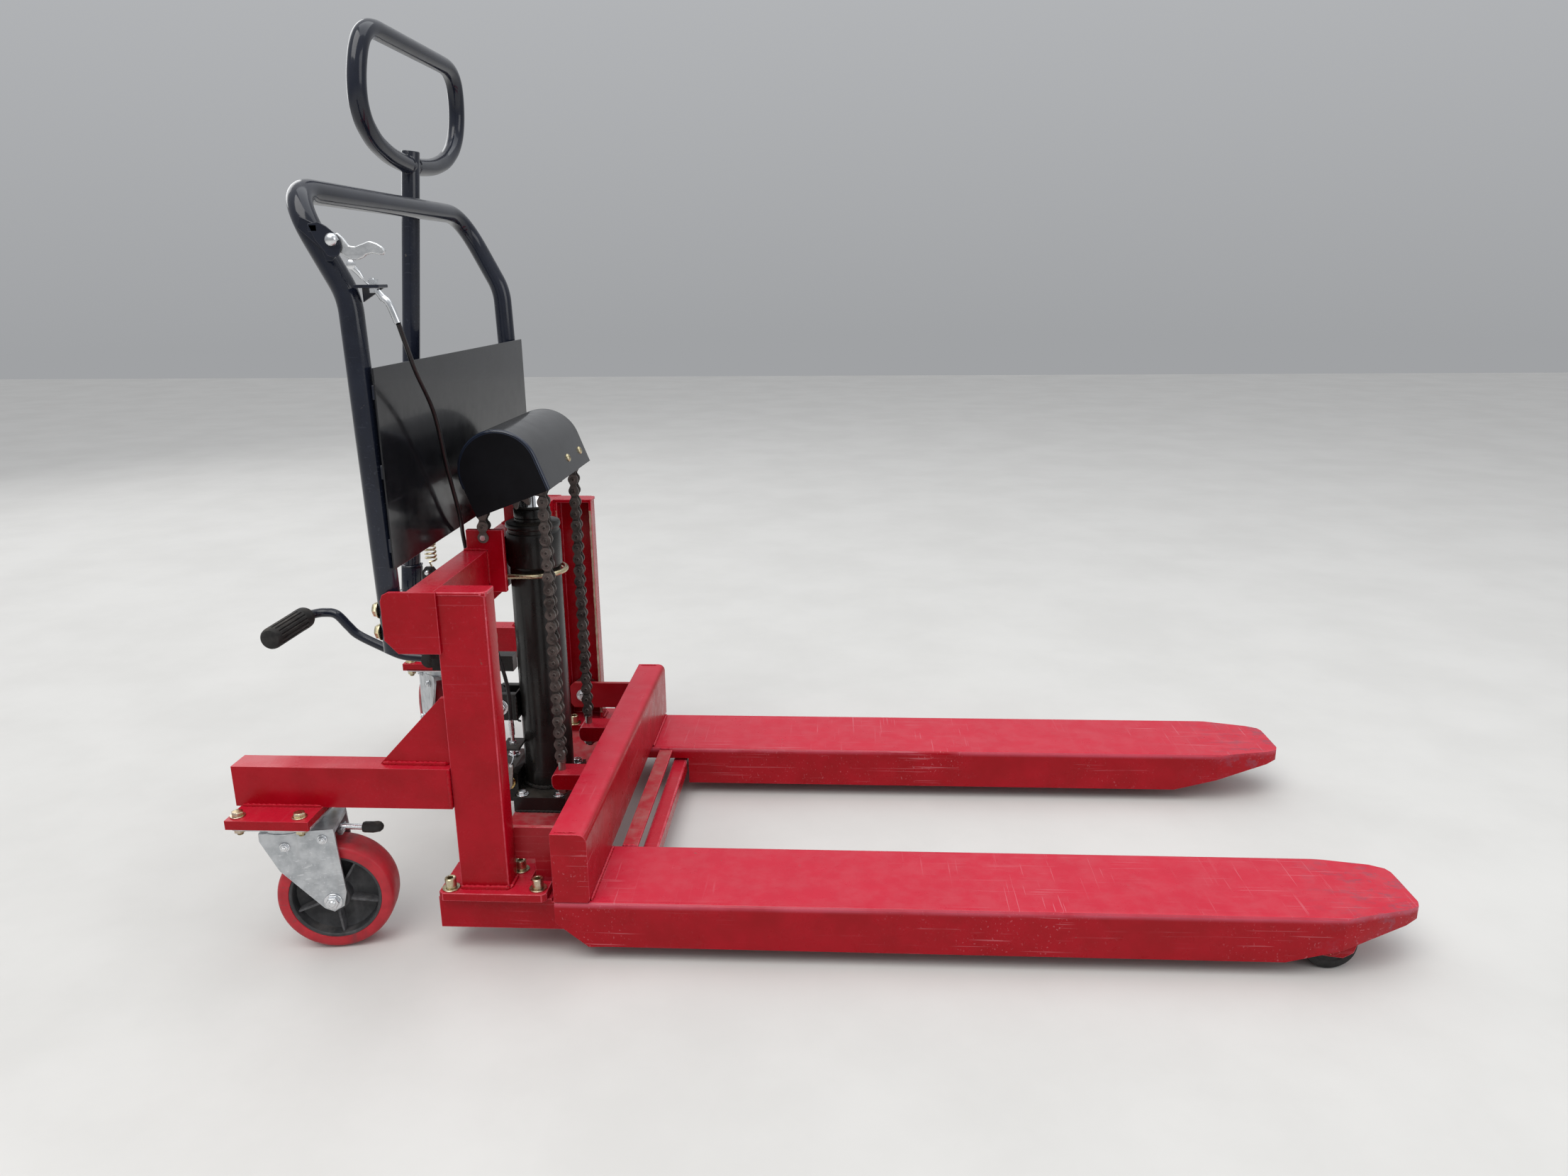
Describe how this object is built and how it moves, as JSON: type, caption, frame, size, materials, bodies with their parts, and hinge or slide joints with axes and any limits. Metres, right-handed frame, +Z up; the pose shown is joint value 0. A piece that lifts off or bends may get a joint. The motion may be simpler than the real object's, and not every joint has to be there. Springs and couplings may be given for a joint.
{
  "type": "pallet jack",
  "caption": "Manual straddle pallet jack with two forks on a chain-lifted carriage, hand and foot pump, steel frame, swivel casters and load rollers.",
  "frame": {"origin": "middle of the bounding box's base, on the floor", "axes": "+X towards the fork tips, +Y to the left of a user facing the forks, +Z up"},
  "size_m": [1.6656, 0.7984, 1.2697],
  "materials": {
    "alloy": "satin cast",
    "black": "satin enamel",
    "blue": "gloss enamel",
    "chain": "oily",
    "chrome": "polished",
    "galvanised": "galvanised",
    "red": "gloss enamel",
    "rubber": "ribbed",
    "steel": "oily bare steel",
    "tyre": "satin polyurethane",
    "zinc": "yellow zinc plated"
  },
  "bodies": {
    "chassis": {"chassis_leg_near": "red", "chassis_leg_far": "red", "cross_tube": "red", "deck_plate": "red", "upright_near": "red", "upright_far": "red", "top_crossbeam": "red", "chain_anchor_near": "red", "chain_anchor_far": "red", "outrigger_near": "red", "outrigger_far": "red", "handle_frame": "blue", "front_panel": "black", "u_bolt": "zinc", "cylinder": "black", "pump_base": "black", "pump_clevis": "black", "release_valve": "zinc", "cable_plate": "black", "cable_bracket": "blue", "lever_bracket": "blue", "release_cable": "rubber", "return_spring": "zinc", "chain_rear_near": "chain", "chain_rear_far": "chain"},
    "ram": {"piston_rod": "chrome", "rod_head": "black", "sprocket_axle": "steel", "chain_cover": "black", "chain_front_near": "chain", "chain_front_far": "chain"},
    "carriage": {"carriage_bar": "red", "fork_near": "red", "fork_far": "red", "cross_strip": "red", "chain_lug_near": "red", "chain_lug_far": "red", "roller_bracket_near": "red", "roller_bracket_far": "red"},
    "rocker": {"rocker": "black", "pump_handle": "blue", "pedal_bar": "blue", "pedal_grip": "rubber"},
    "plunger": {"plunger": "chrome"},
    "valve_lever": {"valve_lever": "steel"},
    "release_lever": {"release_lever": "alloy"},
    "sprocket_near": {"sprocket_near": "steel"},
    "guide_roller_near": {"guide_roller_near": "steel"},
    "caster_fork_near": {"caster_fork_near": "galvanised"},
    "caster_wheel_near": {"caster_wheel_near": "tyre"},
    "caster_brake_near": {"caster_brake_near": "black"},
    "load_roller_near": {"load_roller_near": "rubber"},
    "sprocket_far": {"sprocket_far": "steel"},
    "guide_roller_far": {"guide_roller_far": "steel"},
    "caster_fork_far": {"caster_fork_far": "galvanised"},
    "caster_wheel_far": {"caster_wheel_far": "tyre"},
    "caster_brake_far": {"caster_brake_far": "black"},
    "load_roller_far": {"load_roller_far": "rubber"}
  },
  "joints": [
    {"name": "ram_slide", "type": "slide", "parent": "chassis", "child": "ram", "axis": [0, 0, 1], "range_m": [0, 0.1], "deforming": ["chain_rear_near", "chain_rear_far"]},
    {"name": "carriage_slide", "type": "slide", "parent": "ram", "child": "carriage", "axis": [0, 0, 1], "range_m": [0, 0.1], "deforming": ["chain_front_near", "chain_front_far"]},
    {"name": "sprocket_near_spin", "type": "hinge", "parent": "ram", "child": "sprocket_near", "pos_m": [-0.43425, -0.12017, 0.637], "axis": [0, 1, 0], "range_deg": [-130, 1]},
    {"name": "guide_roller_near_spin", "type": "hinge", "parent": "carriage", "child": "guide_roller_near", "pos_m": [-0.44275, -0.32867, 0.15], "axis": [0, 1, 0], "range_deg": [-455, 5]},
    {"name": "load_roller_near_spin", "type": "hinge", "parent": "chassis", "child": "load_roller_near", "pos_m": [0.70975, -0.32392, 0.036], "axis": [0, 1, 0], "continuous": true},
    {"name": "caster_near_swivel", "type": "hinge", "parent": "chassis", "child": "caster_fork_near", "pos_m": [-0.71425, -0.33517, 0.2], "axis": [0, 0, 1], "continuous": true},
    {"name": "caster_near_roll", "type": "hinge", "parent": "caster_fork_near", "child": "caster_wheel_near", "pos_m": [-0.66304, -0.32614, 0.08], "axis": [-0.1736, 0.9848, 0], "continuous": true},
    {"name": "caster_near_brake", "type": "hinge", "parent": "caster_fork_near", "child": "caster_brake_near", "pos_m": [-0.64925, -0.32371, 0.175], "axis": [-0.1736, 0.9848, 0], "range_deg": [0, 8]},
    {"name": "sprocket_far_spin", "type": "hinge", "parent": "ram", "child": "sprocket_far", "pos_m": [-0.43425, 0.06783, 0.637], "axis": [0, 1, 0], "range_deg": [-130, 1]},
    {"name": "guide_roller_far_spin", "type": "hinge", "parent": "carriage", "child": "guide_roller_far", "pos_m": [-0.44275, 0.27633, 0.15], "axis": [0, 1, 0], "range_deg": [-455, 5]},
    {"name": "load_roller_far_spin", "type": "hinge", "parent": "chassis", "child": "load_roller_far", "pos_m": [0.70975, 0.27158, 0.036], "axis": [0, 1, 0], "continuous": true},
    {"name": "caster_far_swivel", "type": "hinge", "parent": "chassis", "child": "caster_fork_far", "pos_m": [-0.71425, 0.28283, 0.2], "axis": [0, 0, 1], "continuous": true},
    {"name": "caster_far_roll", "type": "hinge", "parent": "caster_fork_far", "child": "caster_wheel_far", "pos_m": [-0.74554, 0.32436, 0.08], "axis": [-0.7986, -0.6018, 0], "continuous": true},
    {"name": "caster_far_brake", "type": "hinge", "parent": "caster_fork_far", "child": "caster_brake_far", "pos_m": [-0.75397, 0.33554, 0.175], "axis": [-0.7986, -0.6018, 0], "range_deg": [0, 8]},
    {"name": "pump_hinge", "type": "hinge", "parent": "chassis", "child": "rocker", "pos_m": [-0.50125, -0.02617, 0.249], "axis": [0, 1, 0], "range_deg": [-30, 0], "stiffness_Nm_per_rad": 60, "springref_deg": 57.3, "deforming": ["return_spring"]},
    {"name": "plunger_slide", "type": "slide", "parent": "chassis", "child": "plunger", "axis": [0, 0, 1], "range_m": [-0.0205, 0]},
    {"name": "release_lever_hinge", "type": "hinge", "parent": "chassis", "child": "release_lever", "pos_m": [-0.55025, -0.35817, 0.961], "axis": [0, 1, 0], "range_deg": [-20, 0], "stiffness_Nm_per_rad": 0.6, "springref_deg": 28.65},
    {"name": "valve_lever_hinge", "type": "hinge", "parent": "chassis", "child": "valve_lever", "pos_m": [-0.49025, -0.08517, 0.128], "axis": [0, 1, 0], "range_deg": [-20, 0]}
  ],
  "couplings": [
    {"joint": "carriage_slide", "follows": "ram_slide", "ratio": 1},
    {"joint": "sprocket_near_spin", "follows": "ram_slide", "rad_per_m": -21.83},
    {"joint": "guide_roller_near_spin", "follows": "ram_slide", "rad_per_m": -78.4},
    {"joint": "sprocket_far_spin", "follows": "ram_slide", "rad_per_m": -21.83},
    {"joint": "guide_roller_far_spin", "follows": "ram_slide", "rad_per_m": -78.4},
    {"joint": "plunger_slide", "follows": "pump_hinge", "m_per_rad": 0.038},
    {"joint": "valve_lever_hinge", "follows": "release_lever_hinge", "ratio": 0.8}
  ]
}
